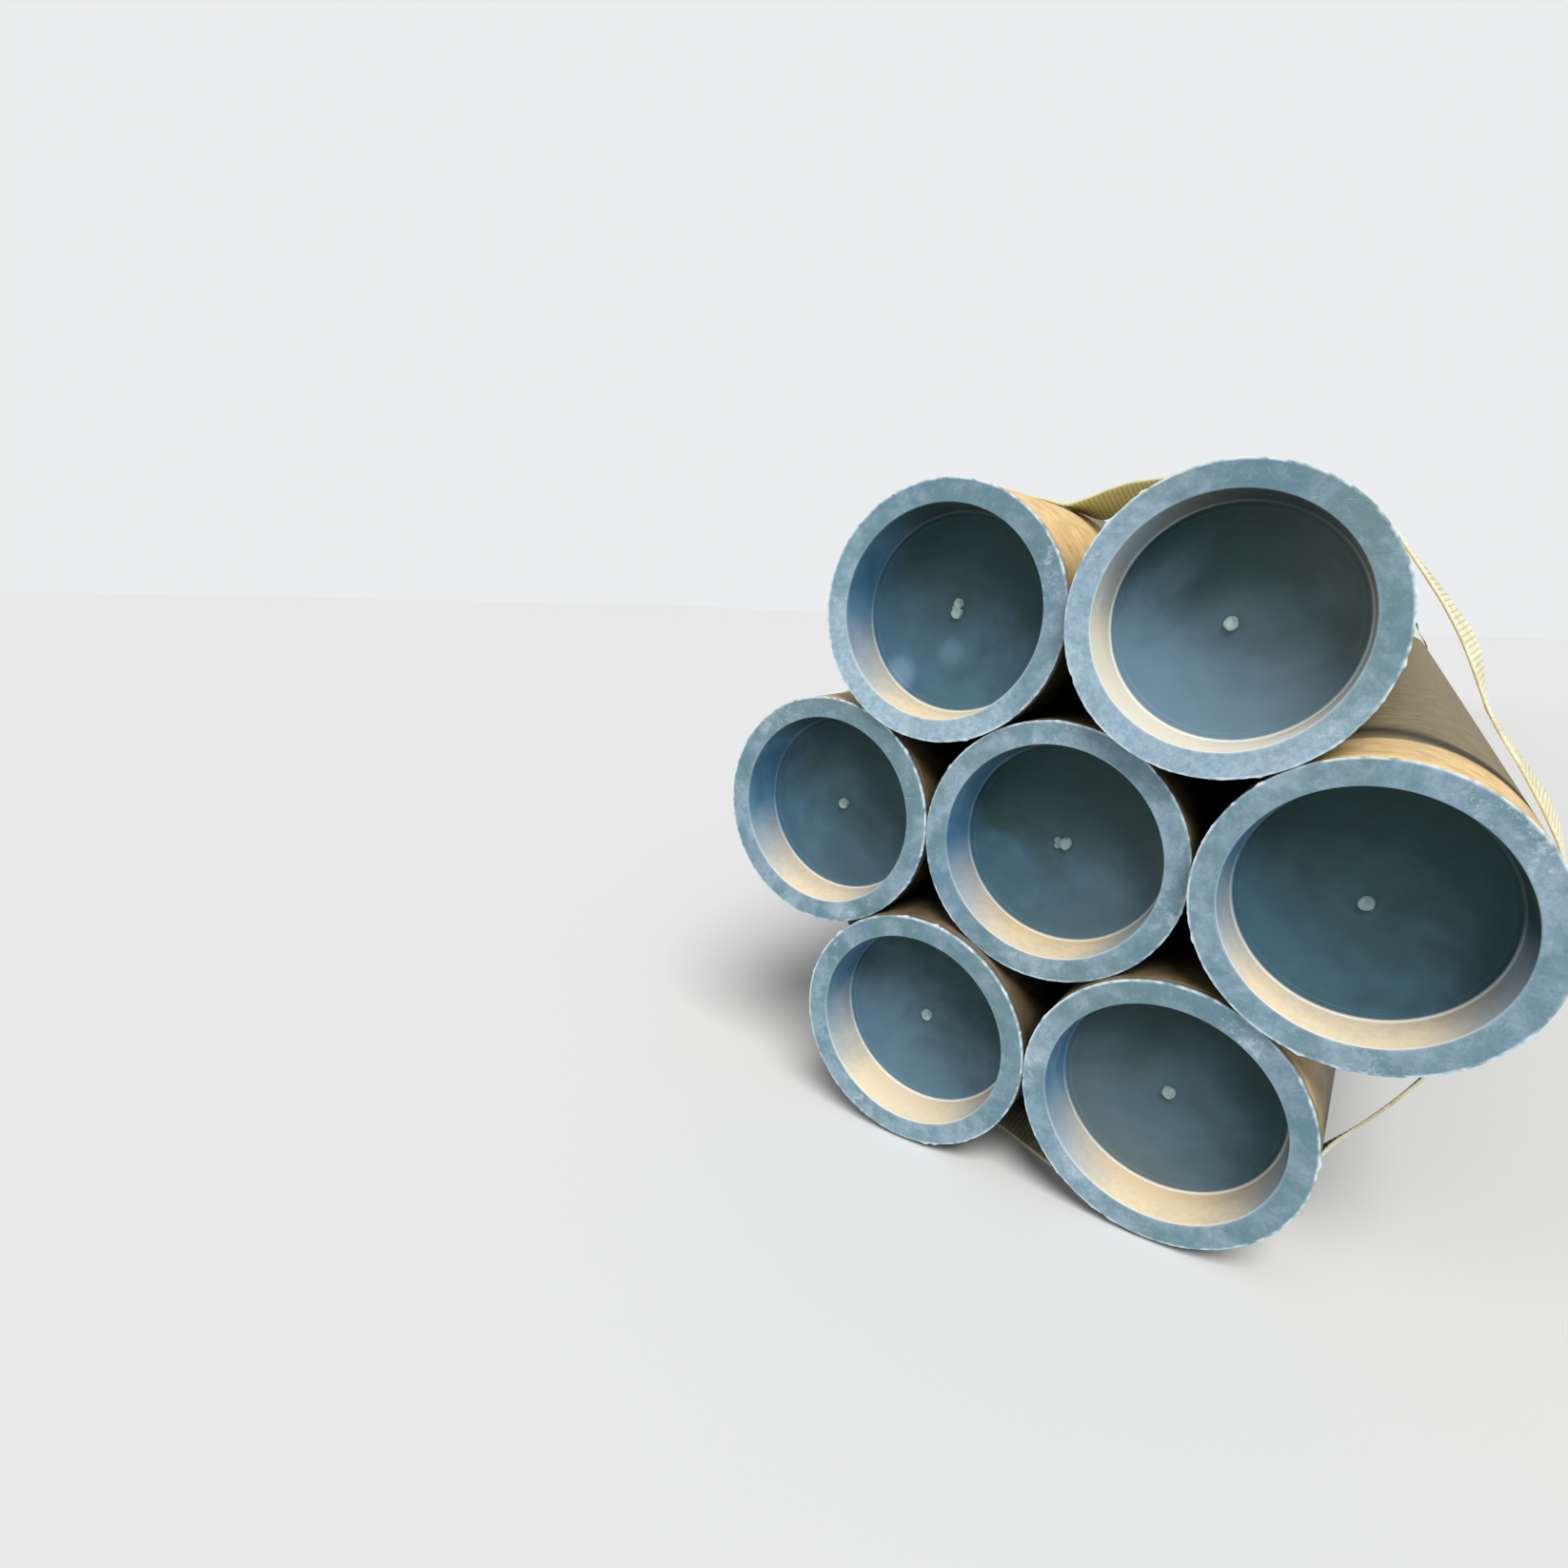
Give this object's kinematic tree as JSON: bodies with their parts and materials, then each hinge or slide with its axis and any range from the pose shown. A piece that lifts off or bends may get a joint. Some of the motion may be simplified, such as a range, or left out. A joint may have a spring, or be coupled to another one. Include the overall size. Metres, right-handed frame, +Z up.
{
  "type": "bundle of steel pipes",
  "caption": "Hexagonal bundle of heavy steel pipes with bevelled ends, recessed plastic end plugs, and flat woven lifting slings laid round the pack near each end.",
  "frame": {"origin": "on the floor, in the middle of the bundle's footprint", "axes": "+Y along the pipes from the front ends to the rear ends, +X across the bundle to the right as seen from the front, +Z up"},
  "size_m": [0.6644, 6.02, 0.6057],
  "materials": {
    "black_steel": "satin",
    "blue_plastic": "satin",
    "webbing": "matte"
  },
  "bodies": {
    "root": {"pipe_top_left": "black_steel", "pipe_top_right": "black_steel", "pipe_left": "black_steel", "pipe_centre": "black_steel", "pipe_right": "black_steel", "pipe_bottom_left": "black_steel", "pipe_bottom_right": "black_steel", "plug_front_top_left": "blue_plastic", "plug_front_top_right": "blue_plastic", "plug_front_left": "blue_plastic", "plug_front_centre": "blue_plastic", "plug_front_right": "blue_plastic", "plug_front_bottom_left": "blue_plastic", "plug_front_bottom_right": "blue_plastic", "sling_front": "webbing", "plug_rear_top_left": "blue_plastic", "plug_rear_top_right": "blue_plastic", "plug_rear_left": "blue_plastic", "plug_rear_centre": "blue_plastic", "plug_rear_right": "blue_plastic", "plug_rear_bottom_left": "blue_plastic", "plug_rear_bottom_right": "blue_plastic", "sling_rear": "webbing"}
  },
  "joints": []
}
